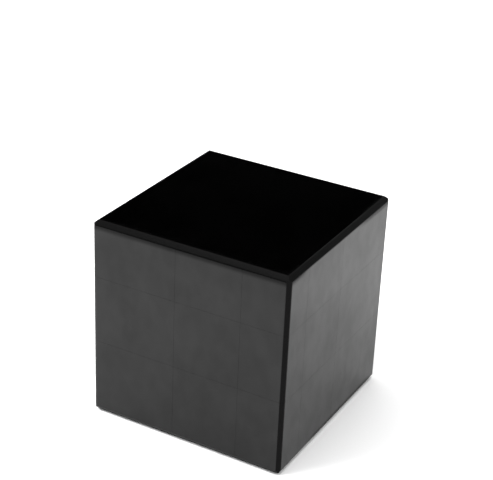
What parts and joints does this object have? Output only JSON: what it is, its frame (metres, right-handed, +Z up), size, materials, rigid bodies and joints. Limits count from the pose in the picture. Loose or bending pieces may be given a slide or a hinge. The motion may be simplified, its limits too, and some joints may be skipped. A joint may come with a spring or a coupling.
{
  "type": "mirror block cube puzzle",
  "caption": "Turning block puzzle whose layers differ in thickness, solved into a plain bevelled cube with polished black faces.",
  "frame": {"origin": "middle of the face that the solved cube stands on", "axes": "+Z up; -Y is the front, the side with the thinnest blocks; +X is the right side"},
  "size_m": [0.057, 0.057, 0.057],
  "materials": {
    "polished_black": "polished to a mirror gloss, faint haze",
    "inner_plastic": "satin moulded",
    "core_plastic": "satin moulded",
    "screw_steel": "zinc plated",
    "spring_steel": "drawn wire"
  },
  "bodies": {
    "core": {"core_hub": "core_plastic", "core_screws": "screw_steel", "spring_bottom": "spring_steel", "spring_front": "spring_steel", "spring_left": "spring_steel", "spring_right": "spring_steel", "spring_back": "spring_steel", "spring_top": "spring_steel", "edge_foot_front_left": "inner_plastic", "edge_shell_front_left": "polished_black", "edge_foot_front_right": "inner_plastic", "edge_shell_front_right": "polished_black", "edge_foot_back_left": "inner_plastic", "edge_shell_back_left": "polished_black", "edge_foot_back_right": "inner_plastic", "edge_shell_back_right": "polished_black"},
    "top_layer": {"edge_foot_top_front": "inner_plastic", "edge_shell_top_front": "polished_black", "edge_foot_top_left": "inner_plastic", "edge_shell_top_left": "polished_black", "edge_foot_top_right": "inner_plastic", "edge_shell_top_right": "polished_black", "edge_foot_top_back": "inner_plastic", "edge_shell_top_back": "polished_black", "corner_foot_top_front_left": "inner_plastic", "corner_shell_top_front_left": "polished_black", "corner_foot_top_front_right": "inner_plastic", "corner_shell_top_front_right": "polished_black", "corner_foot_top_back_left": "inner_plastic", "corner_shell_top_back_left": "polished_black", "corner_foot_top_back_right": "inner_plastic", "corner_shell_top_back_right": "polished_black"},
    "bottom_layer": {"edge_foot_bottom_front": "inner_plastic", "edge_shell_bottom_front": "polished_black", "edge_foot_bottom_left": "inner_plastic", "edge_shell_bottom_left": "polished_black", "edge_foot_bottom_right": "inner_plastic", "edge_shell_bottom_right": "polished_black", "edge_foot_bottom_back": "inner_plastic", "edge_shell_bottom_back": "polished_black", "corner_foot_bottom_front_left": "inner_plastic", "corner_shell_bottom_front_left": "polished_black", "corner_foot_bottom_front_right": "inner_plastic", "corner_shell_bottom_front_right": "polished_black", "corner_foot_bottom_back_left": "inner_plastic", "corner_shell_bottom_back_left": "polished_black", "corner_foot_bottom_back_right": "inner_plastic", "corner_shell_bottom_back_right": "polished_black"},
    "bottom_centre": {"centre_base_bottom": "inner_plastic", "centre_cap_bottom": "polished_black"},
    "front_centre": {"centre_base_front": "inner_plastic", "centre_cap_front": "polished_black"},
    "left_centre": {"centre_base_left": "inner_plastic", "centre_cap_left": "polished_black"},
    "right_centre": {"centre_base_right": "inner_plastic", "centre_cap_right": "polished_black"},
    "back_centre": {"centre_base_back": "inner_plastic", "centre_cap_back": "polished_black"},
    "top_centre": {"centre_base_top": "inner_plastic", "centre_cap_top": "polished_black"}
  },
  "joints": [
    {"name": "top_turn", "type": "hinge", "parent": "core", "child": "top_layer", "pos_m": [0.006, -0.009, 0.0315], "axis": [0, 0, 1], "continuous": true},
    {"name": "bottom_turn", "type": "hinge", "parent": "core", "child": "bottom_layer", "pos_m": [0.006, -0.009, 0.0315], "axis": [0, 0, 1], "continuous": true},
    {"name": "bottom_centre_pull", "type": "slide", "parent": "bottom_layer", "child": "bottom_centre", "axis": [0, 0, -1], "range_m": [0, 0.001], "stiffness_N_per_m": 800, "springref_m": -0.002, "deforming": ["spring_bottom"]},
    {"name": "front_centre_pull", "type": "slide", "parent": "core", "child": "front_centre", "axis": [0, -1, 0], "range_m": [0, 0.001], "stiffness_N_per_m": 800, "springref_m": -0.002, "deforming": ["spring_front"]},
    {"name": "left_centre_pull", "type": "slide", "parent": "core", "child": "left_centre", "axis": [-1, 0, 0], "range_m": [0, 0.001], "stiffness_N_per_m": 800, "springref_m": -0.002, "deforming": ["spring_left"]},
    {"name": "right_centre_pull", "type": "slide", "parent": "core", "child": "right_centre", "axis": [1, 0, 0], "range_m": [0, 0.001], "stiffness_N_per_m": 800, "springref_m": -0.002, "deforming": ["spring_right"]},
    {"name": "back_centre_pull", "type": "slide", "parent": "core", "child": "back_centre", "axis": [0, 1, 0], "range_m": [0, 0.001], "stiffness_N_per_m": 800, "springref_m": -0.002, "deforming": ["spring_back"]},
    {"name": "top_centre_pull", "type": "slide", "parent": "top_layer", "child": "top_centre", "axis": [0, 0, 1], "range_m": [0, 0.001], "stiffness_N_per_m": 800, "springref_m": -0.002, "deforming": ["spring_top"]}
  ]
}
